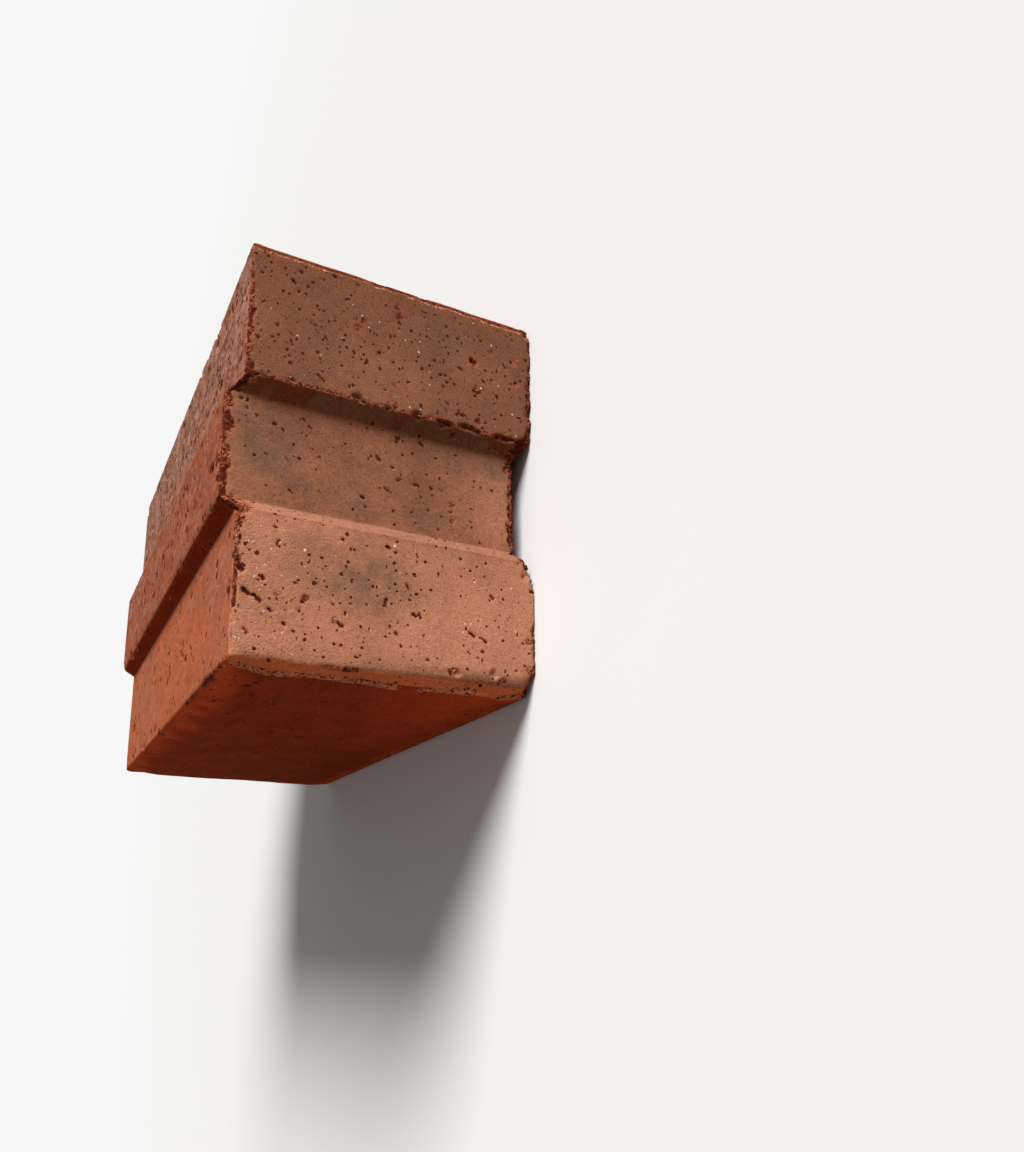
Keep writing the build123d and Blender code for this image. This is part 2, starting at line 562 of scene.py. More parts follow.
def rounding(points, depths):
    """Clay rubbed off the near end's arris with the -Y face, mostly by the grooved bed."""
    near = ramp(10, 5, depths[ENDS]) * ramp(10, 5, depths[OUTER])
    here = near * near_half(points) * (points[:, 1] < 0)
    along = 0.25 + 0.75 * ramp(100, 20, points[:, 2])
    return here * along * np.maximum(CRISP.outside(points, ROUNDED_RADIUS), 0)


def finger_dents(points, depths):
    """Shallow dents that hands left along the outer faces' edges."""
    on_outer = ramp(2.5, 0.5, depths[OUTER])
    from_bed = depths[BEDS]
    band = ramp(1, 6, from_bed) * ramp(24, 12, from_bed)
    drawn_up = points * (1, 1, 0.5)
    return on_outer * band * ramp(0.05, 0.8, noise(drawn_up, 11, 107))


def worn(points):
    """Depth to take off at each surface point, and the marks' masks."""
    depths = -CRISP.gaps(points).T
    pits = pit_depth(points)
    lost, crumbled, cracks = crumble(points, depths)
    spots = strongest(points, SPOTS, 0.45 * fractal(points, 2.6, 2, 83), 0.55, 1.05)
    chips = strongest(points, CHIPS, 0.25 * fractal(points, 3.0, 2, 81), 0.2, 1.0)
    set_back, torn = fold(points, depths)
    swelling = 1 + fractal(points, 60, 2, 51)
    ripples = 1 + fractal(points, 9, 2, 55)
    swell = 0.02 + 0.06 * swelling + 0.03 * ripples
    on_outer = ramp(2.5, 0.5, depths[OUTER]) * ramp(2, 8, depths[BEDS])
    uneven = 1 + fractal(points, 16, 3, 57)
    rough = on_outer * 0.25 * uneven + 0.9 * finger_dents(points, depths)
    torn_depth = 0.8 * torn * cracks
    spot_depth = spots * (0.08 + 0.5 * cracks)
    bites, crumbly_lip = lip_bites(points, depths)
    flake, ridge = top_step(points, depths)
    depth = np.maximum.reduce([pits, lost, torn_depth, spot_depth, chips, bites, 0.8 * flake])
    depth = depth + swell + rough + set_back + rounding(points, depths)
    broken = np.maximum.reduce([crumbled, 0.9 * spots, 0.8 * flake, ramp(0.3, 1.0, bites)])
    in_cracks = 0.9 * broken * ramp(0.28, 0.6, cracks)
    masks = {
        # Painted shade: pits, cracks between crumbs and the flaked band are coloured dark
        "pit_shade": np.maximum.reduce([ramp(0.03, 0.22, pits), in_cracks, 0.5 * flake]),
        "crumbled": np.maximum.reduce([crumbled, 0.7 * spots, 0.7 * flake, crumbly_lip]),
        # Torn lip, and the painted highlight line along the near end's top arris
        "torn": np.maximum(torn, 0.45 * ridge),
    }
    masks.update(zones(points, depths))
    return depth, masks


# Smoked patches on the near end: distance across, height, half sizes and strength
SMOKED_PATCHES = (
    (76, 48, 14, 20, 0.75), (56, 106, 9, 10, 0.35), (2, 128, 17, 20, 0.85), (-14, 112, 9, 20, 0.5),
    (16, 25, 10, 28, 0.8), (-16, 62, 8, 30, 0.4), (-52, 84, 16, 28, 0.75), (-45, 105, 10, 14, 0.5),
)


def zones(points, depths):
    """Where the clay is smoked, baked more orange, or part of a bed, an outer face or a flank, and where
    light and shade are painted: lighter towards the near end's -Y side, a glow along the beds, a lit band
    before the fold and shaded flanks that face down.
    """
    x, y, z = points.T
    near_end = ramp(3, 1, depths[ENDS]) * (x > 0)
    cloud = fractal(points, 22, 3, 121)
    smoked = np.zeros(len(points))
    for across, height, half_width, half_height, strength in SMOKED_PATCHES:
        reached = np.hypot((y - across) / half_width, (z - height) / half_height) + 0.45 * cloud
        smoked = np.maximum(smoked, strength * fade_out(0.2, 1.35, reached))
    smoke_clouds = ramp(0.35, 1.0, fractal(points, 60, 3, 123))
    elsewhere = 0.3 * smoke_clouds * (depths[OUTER] > 1)
    smoked = near_end * smoked + (1 - near_end) * elsewhere
    on_bed = ramp(1.5, 0.3, depths[BEDS]) * (1 - near_end)
    # Near end: lighter and more orange towards -Y and in the groove towards the lower bed, partly the
    # clay's firing colour and partly painted light falloff
    by_band = np.interp(y, (-95, -60, -34, -24, 28, 95), (1.0, 0.95, 0.9, 0.34, 0.16, 0.08))
    on_bed_band = np.interp(y, (-95, -34, -24, 28, 40, 95), (1.0, 0.9, 0.8, 0.6, 0.3, 0.0))
    lighter_side = 0.4 * ramp(55, 15, z) * ramp(30, 10, np.abs(y)) * near_end
    drift = 0.16 * fractal(points, 40, 3, 125)
    baked_and_lit = np.where(on_bed > 0.5, on_bed_band, by_band) + lighter_side + drift
    outer = ramp(1.2, 0.2, depths[OUTER])
    slope = np.sqrt(1 - squareness(y, CRISP.groove) ** 2)
    # Flanks that face down, which the material paints in shade
    hanging = in_groove(points, depths) == (y > 0)
    # Painted light: a glow along the beds, strongest on the -Y face, and up its low corner by the near end
    along_bed = ramp(17, 3, depths[BEDS] + 7 * cloud) * np.where(y < 0, 1.0, 0.12)
    low_corner = ramp(90, 10, z + 12 * cloud) * ramp(220, 30, depths[ENDS])
    along_bed = np.maximum(along_bed, 0.9 * (low_corner * (x > 0) * (y < 0)))
    # Band before the fold, which the material brightens as painted light
    along_end = ramp(FOLD_PLACE + 0.5, FOLD_PLACE - 0.5, depths[ENDS]) * (x > 0)
    return {
        "smoked": smoked,
        "baked_and_lit": np.clip(baked_and_lit, 0, 1),
        "bed": on_bed,
        "tongue": ramp(30, 24, np.abs(y)),
        "outer": outer,
        "flank": slope * (1 - outer) * ramp(0, 6, depths[OUTER]),
        "hanging": hanging.astype(float),
        # Painted glow, with painted shade in the finger dents
        "painted_glow": outer * along_bed * (1 - 0.6 * finger_dents(points, depths)),
        "bevel": outer * along_end * np.where(y < 0, 1.0, 0.15),
        "grooved_end": near_end,
        "limed": near_end * ramp(108, 128, z) * ramp(-34, -44, y),
        "weathered": outer * np.where(y > 0, 1.0, 0.06),
    }


# Mesh

MOST_ROUNDS = 16
# Times its target length that an edge may measure
SPLIT_ABOVE = 1.4
# Target lengths of edges: the longest, and the shortest on each kind of mark
COARSEST_EDGE = 7.0
NEAR_ARRIS_EDGE, FAR_ARRIS_EDGE = 0.9, 2.0
NEAR_FLANK_EDGE, FAR_FLANK_EDGE = 1.25, 2.6
FOLD_EDGE, CHIP_EDGE, SPOT_EDGE = 0.85, 0.9, 0.65
# Widths of the fine bands by the arrises and the fold
WIDE_BAND, NARROW_BAND, FOLD_BAND = 3.6, 2.0, 4
PIT_REACH = 7.0
NEAR_END_REACH = 8


def target_length(points):
    """Edge length that the mesh needs at each surface point, in millimetres."""
    depths = -CRISP.gaps(points).T
    across = np.abs(points[:, 1])
    from_arris = np.sort(depths, axis=0)[1]
    near = points[:, 0] > GROOVED_END - NEAR_END_REACH
    wide = near & (depths[BEDS] < depths[OUTER])
    fine = np.where(near, NEAR_ARRIS_EDGE, FAR_ARRIS_EDGE)
    band = np.where(wide, WIDE_BAND, NARROW_BAND)
    length = np.minimum(COARSEST_EDGE, fine + 1.0 * np.maximum(from_arris - band, 0))
    from_flank = np.maximum(floor_half - 0.6 - across, across - mouth_half - 1.6)
    on_flanks = np.where(near, NEAR_FLANK_EDGE, FAR_FLANK_EDGE) + np.maximum(from_flank, 0)
    ridged = depths[OUTER] > MIDDLE_BAND
    length = np.where(ridged, np.minimum(length, on_flanks), length)
    folded = (depths[OUTER] < 2.2) & near_half(points)
    from_fold = np.abs(depths[ENDS] - FOLD_PLACE) - FOLD_BAND
    length = np.where(folded, np.minimum(length, FOLD_EDGE + np.maximum(from_fold, 0)), length)
    for marks, edge in ((CHIPS, CHIP_EDGE), (SPOTS, SPOT_EDGE)):
        for place, radius, _ in marks:
            away = distance_from(place, points) - radius
            length = np.minimum(length, edge + np.maximum(away, 0))
    for found, pit in near_pits(points, PIT_REACH):
        away = from_stroke(points[found], pit) - PITS.radii[pit]
        length[found] = np.minimum(length[found], 0.78 * PITS.radii[pit] + 0.14 + np.maximum(away, 0))
    return length


def box_point(along, y, up):
    """Point of the unworn brick at shares of its length and height."""
    x_low, x_high = TONGUED_END - CRISP.rise(y), GROOVED_END - CRISP.sink(y)
    z_low, z_high = LOWER_BED + CRISP.sink(y), UPPER_BED + CRISP.rise(y)
    return (x_low + (x_high - x_low) * along, y, z_low + (z_high - z_low) * up)


def grid(firsts, seconds, place, flip):
    """Points and faces of one face of the brick."""
    points = np.array([place(first, second) for first in firsts for second in seconds], float)
    count = len(seconds)
    corner = (np.arange(len(firsts) - 1)[:, None] * count + np.arange(count - 1)).ravel()
    quads = np.stack([corner, corner + count, corner + count + 1, corner + 1], axis=1)
    return points, quads[:, ::-1] if flip else quads


def cage():
    """A closed coarse mesh on the unworn brick, as points and triangles."""
    ribs = np.unique(np.round(np.concatenate([CRISP.tongue[0][::2], CRISP.groove[0][::2], (8, 16)]), 2))
    half = np.concatenate([ribs, np.linspace(mouth_half + 5, HALF_WIDTH, 10)])
    widths = np.concatenate([-half[::-1], [0], half])
    lengths, heights = np.linspace(0, 1, 41), np.linspace(0, 1, 19)
    faces = []
    for side in (0, 1):
        out = bool(side)
        edge = (2 * side - 1) * HALF_WIDTH
        faces.append(grid(widths, heights, lambda y, up: box_point(side, y, up), not out))
        faces.append(grid(lengths, widths, lambda along, y: box_point(along, y, side), not out))
        faces.append(grid(lengths, heights, lambda along, up: box_point(along, edge, up), out))
    starts = np.cumsum([0] + [len(points) for points, _ in faces[:-1]])
    points = np.concatenate([points for points, _ in faces])
    quads = np.concatenate([quads + start for (_, quads), start in zip(faces, starts)])
    kept, merged = np.unique(np.round(points, 4), axis=0, return_inverse=True)
    quads = merged.reshape(-1)[quads]
    triangles = np.concatenate([quads[:, [0, 1, 2]], quads[:, [0, 2, 3]]])
    return onto_brick(kept), triangles


def mark_longest(triangles, edge_of, lengths, marked):
    """Also marks the longest edge of each triangle with a marked edge, until none is left."""
    longest = edge_of[np.arange(len(triangles)), lengths[edge_of].argmax(axis=1)]
    while True:
        wanted = longest[marked[edge_of].any(axis=1)]
        fresh = wanted[~marked[wanted]]
        if len(fresh) == 0:
            return
        marked[fresh] = True


def split_triangles(triangles, middle_of, longest):
    """Cuts each triangle at the new points on its edges, its longest edge first."""
    order = (longest[:, None] + np.arange(3)) % 3
    a, b, c = np.take_along_axis(triangles, order, axis=1).T
    ab, bc, ca = np.take_along_axis(middle_of, order, axis=1).T
    split = ab >= 0
    with_bc, with_ca = split & (bc >= 0), split & (ca >= 0)
    without_bc, without_ca = split & (bc < 0), split & (ca < 0)
    return np.concatenate([
        triangles[~split],
        np.stack([a, ab, c], axis=1)[without_ca],
        np.stack([ab, b, c], axis=1)[without_bc],
        np.stack([a, ab, ca], axis=1)[with_ca],
        np.stack([ca, ab, c], axis=1)[with_ca],
        np.stack([ab, b, bc], axis=1)[with_bc],
        np.stack([ab, bc, c], axis=1)[with_bc],
    ])


def refine(points, needs, triangles):
    """Splits once every edge that is longer than its ends need, and keeps the mesh closed."""
    count = len(points)
    sides = np.concatenate([triangles[:, [0, 1]], triangles[:, [1, 2]], triangles[:, [2, 0]]])
    sides = np.sort(sides, axis=1)
    keys, edge_of = np.unique(sides[:, 0] * count + sides[:, 1], return_inverse=True)
    edge_of = edge_of.reshape(3, -1).T
    edges = np.stack([keys // count, keys % count], axis=1)
    lengths = np.linalg.norm(points[edges[:, 0]] - points[edges[:, 1]], axis=1)
    marked = lengths > SPLIT_ABOVE * needs[edges].min(axis=1)
    if not marked.any():
        return points, needs, triangles, False
    mark_longest(triangles, edge_of, lengths, marked)
    number = np.full(len(edges), -1)
    number[marked] = count + np.arange(marked.sum())
    fresh = onto_brick(points[edges[marked]].mean(axis=1))
    triangles = split_triangles(triangles, number[edge_of], lengths[edge_of].argmax(axis=1))
    return np.concatenate([points, fresh]), np.concatenate([needs, target_length(fresh)]), triangles, True


def brick_surface():
    points, triangles = cage()
    needs = target_length(points)
    for _ in range(MOST_ROUNDS):
        points, needs, triangles, changed = refine(points, needs, triangles)
        if not changed:
            break
    depth, masks = worn(points)
    placed = points - SOFT.outward(points, SOFT_ARRIS_RADIUS) * depth[:, None]
    return np.clip(placed, LOW, HIGH), triangles, masks


def new_object(name, data):
    thing = bpy.data.objects.new(name, data)
    bpy.context.scene.collection.objects.link(thing)
    return thing


def make_brick():
    points, triangles, masks = brick_surface()
    mesh = bpy.data.meshes.new("interlocking_brick")
    mesh.from_pydata((points * MM).tolist(), [], triangles.tolist())
    for name, values in masks.items():
        mesh.attributes.new(name, "FLOAT", "POINT").data.foreach_set("value", values.astype(np.float32))
    mesh.shade_smooth()
    return new_object("interlocking_brick", mesh)


# Materials

class Nodes:
    """Short ways to place and join nodes in one tree."""

    def __init__(self, tree):
        self.tree = tree

    def add(self, kind, inputs=None, **settings):
        node = self.tree.nodes.new("ShaderNode" + kind)
        for name, value in settings.items():
            setattr(node, name, value)
        for name, value in (inputs or {}).items():
            self.feed(node.inputs[name], value)
        return node

    def feed(self, socket, value):
        if isinstance(value, bpy.types.NodeSocket):
            self.tree.links.new(value, socket)
        else:
            socket.default_value = value

    def math(self, operation, *values):
        node = self.add("Math", operation=operation)
        for socket, value in zip(node.inputs, values):
            self.feed(socket, value)
        return node.outputs[0]

    def plus(self, first, second):
        return self.math("ADD", first, second)

    def minus(self, first, second):
        return self.math("SUBTRACT", first, second)

    def times(self, first, second):
        return self.math("MULTIPLY", first, second)

    def larger(self, first, second):
        return self.math("MAXIMUM", first, second)

    def ramp(self, value, low, high):
        """0 below low, 1 above high, and smooth between."""
        node = self.add("MapRange", interpolation_type="SMOOTHSTEP")
        self.feed(node.inputs["Value"], value)
        self.feed(node.inputs["From Min"], low)
        self.feed(node.inputs["From Max"], high)
        return node.outputs["Result"]

    def mix(self, factor, first, second, blend="MIX"):
        node = self.add("Mix", data_type="RGBA", blend_type=blend)
        self.feed(node.inputs["Factor"], factor)
        self.feed(node.inputs["A"], first)
        self.feed(node.inputs["B"], second)
        return node.outputs["Result"]

    def noise(self, vector, scale, detail=2.0, roughness=0.5):
        inputs = {"Vector": vector, "Scale": scale, "Detail": detail, "Roughness": roughness}
        return self.add("TexNoise", inputs).outputs["Fac"]

    def mask(self, name):
        return self.add("Attribute", attribute_name=name).outputs["Fac"]

    def vector(self, operation, inputs):
        return self.add("VectorMath", inputs, operation=operation).outputs[0]

    def ragged(self, vector, scale, reach):
        """The vector, pushed about by noise, which makes edges ragged."""
        noise = self.add("TexNoise", {"Vector": vector, "Scale": scale, "Detail": 2.0})
        push = self.vector("SUBTRACT", {0: noise.outputs["Color"], 1: (0.5, 0.5, 0.5)})
        push = self.vector("SCALE", {0: push, "Scale": reach})
        return self.vector("ADD", {0: vector, 1: push})

    def scaled(self, vector, scale, turn=(0, 0, 0)):
        inputs = {"Vector": vector, "Rotation": turn, "Scale": scale}
        return self.add("Mapping", inputs).outputs[0]

    def group(self, tree, **inputs):
        """Outputs of a node group, placed here with its own values."""
        return self.add("Group", inputs, node_tree=tree).outputs


def new_group(name, inputs):
    """The nodes of a new node group that takes a place and named numbers, and what they are given."""
    tree = bpy.data.node_groups.new(name, "ShaderNodeTree")
    tree.interface.new_socket("Place", in_out="INPUT", socket_type="NodeSocketVector")
    for label, value in inputs.items():
        socket = tree.interface.new_socket(label, in_out="INPUT", socket_type="NodeSocketFloat")
        socket.default_value = value
    return Nodes(tree), tree.nodes.new("NodeGroupInput").outputs


def finished(nodes, **outputs):
    """The group of those nodes, which puts out these numbers."""
    for label in outputs:
        nodes.tree.interface.new_socket(label, in_out="OUTPUT", socket_type="NodeSocketFloat")
    result = nodes.tree.nodes.new("NodeGroupOutput").inputs
    for label, value in outputs.items():
        nodes.feed(result[label], value)
    return nodes.tree


MM_PER_METRE = 1000.0
# Sum of the grain's layers that leaves the clay's colour as it is, and the darkest tone
USUAL_GRAIN, DARKEST_TONE = 1.15, 0.35


def clay_grain_group():
    """Fine sandy grain: a height in millimetres, and a tone about 1."""
    nodes, given = new_group("clay_grain", {"Grain Size": 1.0, "Contrast": 1.0})
    scale = nodes.math("DIVIDE", MM_PER_METRE, given["Grain Size"])
    fine = nodes.noise(given["Place"], nodes.times(scale, 1.1), 2.0, 0.6)
    coarse = nodes.noise(given["Place"], nodes.times(scale, 0.36), 3.0, 0.6)
    cloud = nodes.noise(given["Place"], nodes.times(scale, 0.05), 4.0, 0.6)
    height = nodes.plus(nodes.times(fine, 0.2), nodes.times(coarse, 0.16))
    grain = nodes.plus(nodes.times(fine, 1.05), nodes.times(coarse, 0.55))
    grain = nodes.plus(grain, nodes.times(cloud, 0.7))
    swing = nodes.times(nodes.minus(grain, USUAL_GRAIN), given["Contrast"])
    return finished(nodes, Height=height, Tone=nodes.larger(nodes.plus(swing, 1.0), DARKEST_TONE))


def flecks_group():
    """Small round marks in cells: Spacing in millimetres, Share of the cells, Size in spacings."""
    nodes, given = new_group("flecks", {"Spacing": 4.0, "Share": 0.4, "Size": 0.12})
    scale = nodes.math("DIVIDE", MM_PER_METRE, given["Spacing"])
    cells = nodes.add("TexVoronoi", {"Vector": given["Place"], "Scale": scale})
    chance = nodes.add("SeparateColor", {"Color": cells.outputs["Color"]})
    present = nodes.math("LESS_THAN", chance.outputs["Red"], given["Share"])
    growth = nodes.math("POWER", chance.outputs["Green"], 2.5)
    size = nodes.times(given["Size"], nodes.plus(growth, 0.45))
    outside = nodes.ramp(cells.outputs["Distance"], size, nodes.times(size, 1.25))
    return finished(nodes, Mask=nodes.times(present, nodes.minus(1.0, outside)))


def crumbs_group():
    """Broken clay where Amount is high: holes with crisp rims, painted dark as shade, and their depth in
    millimetres.
    """
    nodes, given = new_group("crumbs", {"Size": 1.4, "Amount": 1.0})
    scale = nodes.math("DIVIDE", MM_PER_METRE, given["Size"])
    grain = nodes.noise(given["Place"], scale, 3.0, 0.6)
    risen = nodes.plus(grain, nodes.times(given["Amount"], 0.2))
    holes = nodes.times(nodes.ramp(risen, 0.7, 0.76), nodes.ramp(given["Amount"], 0.05, 0.35))
    lumpy = nodes.times(nodes.minus(0.5, grain), given["Amount"])
    return finished(nodes, Holes=holes, Height=nodes.minus(lumpy, nodes.times(holes, 0.3)))


def weathering_group():
    """Blotches of old outer faces: dark rough mottling, and pale dry veils of salt."""
    nodes, given = new_group("weathering", {"Amount": 1.0})
    place, amount = given["Place"], given["Amount"]
    blotch = nodes.noise(place, 38.0, 6.0, 0.68)
    mottle = nodes.noise(place, 210.0, 4.0, 0.65)
    veil = nodes.noise(nodes.scaled(place, (1, 1, 1.8)), 60.0, 8.0, 0.75)
    stained = nodes.plus(nodes.times(blotch, 0.6), nodes.times(mottle, 0.4))
    stain = nodes.times(amount, nodes.ramp(stained, 0.42, 0.62))
    veil = nodes.times(amount, nodes.ramp(veil, 0.56, 0.72))
    return finished(nodes, Stain=stain, Veil=veil, Height=nodes.times(amount, mottle))


# Colours of the clay, of what lies on it, and of painted light and shade
# Brown to orange across the near end: partly the clay's firing colour, partly painted light that grows
# towards -Y
BROWN_CLAY = (0.19, 0.075, 0.04, 1)
ORANGE_CLAY = (0.46, 0.2, 0.115, 1)
BED_BROWN_CLAY = (0.27, 0.115, 0.073, 1)
BED_RED_CLAY = (0.41, 0.106, 0.044, 1)
TONGUE_CLAY = (0.3, 0.08, 0.036, 1)
# Deep red of the outer faces: the clay's own colour, made more saturated on the -Y face as painted warm
# bounce light in its shade
OUTER_CLAY = (0.31, 0.042, 0.01, 1)
# Painted light: bright orange glow along the outer faces' edges by the beds
PAINTED_GLOW_CLAY = (0.62, 0.09, 0.022, 1)
# Painted light: the band between the near end and the fold, brightened as if lit by bounced light
BEVEL_PAINTED_LIGHT_CLAY = (0.74, 0.21, 0.08, 1)
WEATHERED_CLAY = (0.19, 0.055, 0.032, 1)
# Painted shade: darker copies of the flank clay for the grooved end's downward-facing walls
CEILING_SHADE_CLAY = (0.195, 0.087, 0.053, 1)
CEILING_RED_SHADE_CLAY = (0.185, 0.055, 0.026, 1)
FLOOR_WALL_CLAY = (0.31, 0.137, 0.08, 1)
# Painted shade: deep dark red of the tongue's downward-facing flank along the bed
TONGUE_FLANK_SHADE_CLAY = (0.28, 0.028, 0.005, 1)
SMOKED_CLAY = (0.15, 0.088, 0.056, 1)
CRUMB_CLAY = (0.36, 0.105, 0.048, 1)
# Pale torn clay of the fold's lip, made paler as a painted highlight on its crest, and the painted
# highlight line along the near end's top arris
TORN_CLAY_AND_HIGHLIGHT = (0.76, 0.3, 0.165, 1)
# Painted shade: near-black red inside pits, pinholes, cracks and crumb holes
PIT_SHADE_CLAY = (0.095, 0.014, 0.006, 1)
STAIN_CLAY = (0.12, 0.028, 0.016, 1)
BED_STAIN_CLAY = (0.15, 0.038, 0.022, 1)
# Painted sheen: pale grey-pink streaks on the rough part of the beds
BED_PAINTED_SHEEN_CLAY = (0.4, 0.23, 0.175, 1)
CRACK_CLAY = (0.5, 0.33, 0.26, 1)
PALE_GRAIN = (0.74, 0.58, 0.46, 1)
SALT_VEIL = (0.42, 0.24, 0.19, 1)


def bed_colour(nodes, place):
    """Clay of the beds: redder where baked, and blotched, cracked and with a painted pale sheen where not.
    """
    baked_and_lit = nodes.mask("baked_and_lit")
    colour = nodes.mix(baked_and_lit, BED_BROWN_CLAY, BED_RED_CLAY)
    colour = nodes.mix(nodes.mask("tongue"), colour, TONGUE_CLAY)
    rough_part = nodes.minus(1.0, nodes.times(baked_and_lit, 0.85))
    blotch = nodes.noise(nodes.scaled(place, (0.6, 1, 1)), 150.0, 5.0, 0.7)
    blotch = nodes.times(nodes.ramp(blotch, 0.47, 0.62), rough_part)
    colour = nodes.mix(blotch, colour, BED_STAIN_CLAY)
    # Painted sheen, as where light grazes the rough part of the bed
    painted_sheen = nodes.noise(nodes.scaled(place, (0.6, 1, 1.3)), 170.0, 5.0, 0.7)
    painted_sheen = nodes.times(nodes.ramp(painted_sheen, 0.48, 0.66), rough_part)
    colour = nodes.mix(painted_sheen, colour, BED_PAINTED_SHEEN_CLAY)
    crossing = nodes.minus(nodes.noise(place, 85.0, 4.0, 0.55), 0.5)
    crack = nodes.minus(1.0, nodes.ramp(nodes.math("ABSOLUTE", crossing), 0.003, 0.018))
    crack = nodes.times(crack, nodes.times(rough_part, 0.55))
    return nodes.mix(crack, colour, CRACK_CLAY)


def flank_colour(nodes, place, colour):
    """Clay of the leaning flanks, beside faces of that colour, with painted shade on the flanks that face
    down.
    """
    reddish = nodes.ramp(nodes.noise(place, 38.0, 3.0, 0.6), 0.46, 0.56)
    # Painted shade on the grooved end's downward-facing walls, and lit clay on the upward-facing ones
    ceiling = nodes.mix(reddish, CEILING_SHADE_CLAY, CEILING_RED_SHADE_CLAY)
    end_flank = nodes.mix(nodes.mask("hanging"), FLOOR_WALL_CLAY, ceiling)
    # Painted shade on the tongue's downward-facing flank along the bed
    shaded = nodes.times(nodes.mask("hanging"), nodes.mask("bed"))
    tongue_flank = nodes.mix(shaded, TONGUE_CLAY, TONGUE_FLANK_SHADE_CLAY)
    tongue_flank = nodes.mix(nodes.mask("bed"), colour, tongue_flank)
    return nodes.mix(nodes.mask("grooved_end"), tongue_flank, end_flank)


def outer_colour(nodes, place):
    """Clay of the outer faces, with painted light: a glow along the beds and a brightened band before the
    fold.
    """
    weathered = nodes.ramp(nodes.mask("weathered"), 0.4, 0.9)
    # The -Y face's deep red is partly painted warm bounce light
    colour = nodes.mix(weathered, OUTER_CLAY, WEATHERED_CLAY)
    dragged = nodes.noise(nodes.scaled(place, (0.1, 1, 1)), 260.0, 3.0, 0.6)
    colour = nodes.mix(nodes.times(nodes.ramp(dragged, 0.5, 0.68), 0.35), colour, STAIN_CLAY)
    # Painted glow along the beds
    colour = nodes.mix(nodes.mask("painted_glow"), colour, PAINTED_GLOW_CLAY)
    # Painted light on the band before the fold
    return nodes.mix(nodes.mask("bevel"), colour, BEVEL_PAINTED_LIGHT_CLAY)


def plain_colour(nodes, place):
    """Colour of the clay from place to place, before its marks."""
    colour = nodes.mix(nodes.mask("baked_and_lit"), BROWN_CLAY, ORANGE_CLAY)
    colour = nodes.mix(nodes.mask("bed"), colour, bed_colour(nodes, place))
    flank = flank_colour(nodes, place, colour)
    colour = nodes.mix(nodes.times(nodes.mask("flank"), 1.3), colour, flank)
    return nodes.mix(nodes.mask("outer"), colour, outer_colour(nodes, place))


def all_pinholes(nodes, flecks, place, ragged_place):
    """Pinholes that crowd in places, some of them dashes, and larger ones on the beds."""
    crowded = nodes.ramp(nodes.noise(place, 32.0), 0.36, 0.62)
    share = nodes.plus(nodes.times(crowded, 0.6), 0.28)
    share = nodes.minus(share, nodes.times(nodes.mask("baked_and_lit"), 0.25))
    pinholes = nodes.group(flecks, Place=ragged_place, Spacing=3.1, Share=share, Size=0.195)["Mask"]
    drawn_place = nodes.scaled(ragged_place, (1.0, 0.6, 1.5), turn=(math.radians(42), 0, 0))
    dashes = nodes.group(flecks, Place=drawn_place, Spacing=5.0, Share=0.6, Size=0.1)["Mask"]
    bed_share = nodes.minus(0.9, nodes.times(nodes.mask("baked_and_lit"), 0.6))
    bed_holes = nodes.group(flecks, Place=ragged_place, Spacing=5.5, Share=bed_share, Size=0.24)["Mask"]
    pinholes = nodes.larger(pinholes, dashes)
    return nodes.larger(pinholes, nodes.times(bed_holes, nodes.mask("bed")))


def pale_grains(nodes, flecks, ragged_place):
    """Mineral grains everywhere, and specks of lime on the limed part of the near end."""
    minerals = nodes.group(flecks, Place=ragged_place, Spacing=5.0, Share=0.5, Size=0.072)["Mask"]
    lime = nodes.group(flecks, Place=ragged_place, Spacing=1.8, Share=0.45, Size=0.16)["Mask"]
    return nodes.larger(minerals, nodes.times(lime, nodes.mask("limed")))


def torn_lip(nodes, place):
    """The fold's torn lip and the painted highlight line on the top arris, with a crisp ragged edge."""
    ragged = nodes.minus(nodes.noise(place, 650.0, 3.0, 0.6), 0.5)
    return nodes.ramp(nodes.plus(nodes.mask("torn"), nodes.times(ragged, 0.9)), 0.3, 0.45)


def new_material(name):
    material = bpy.data.materials.new(name)
    material.use_nodes = True
    return material, Nodes(material.node_tree)


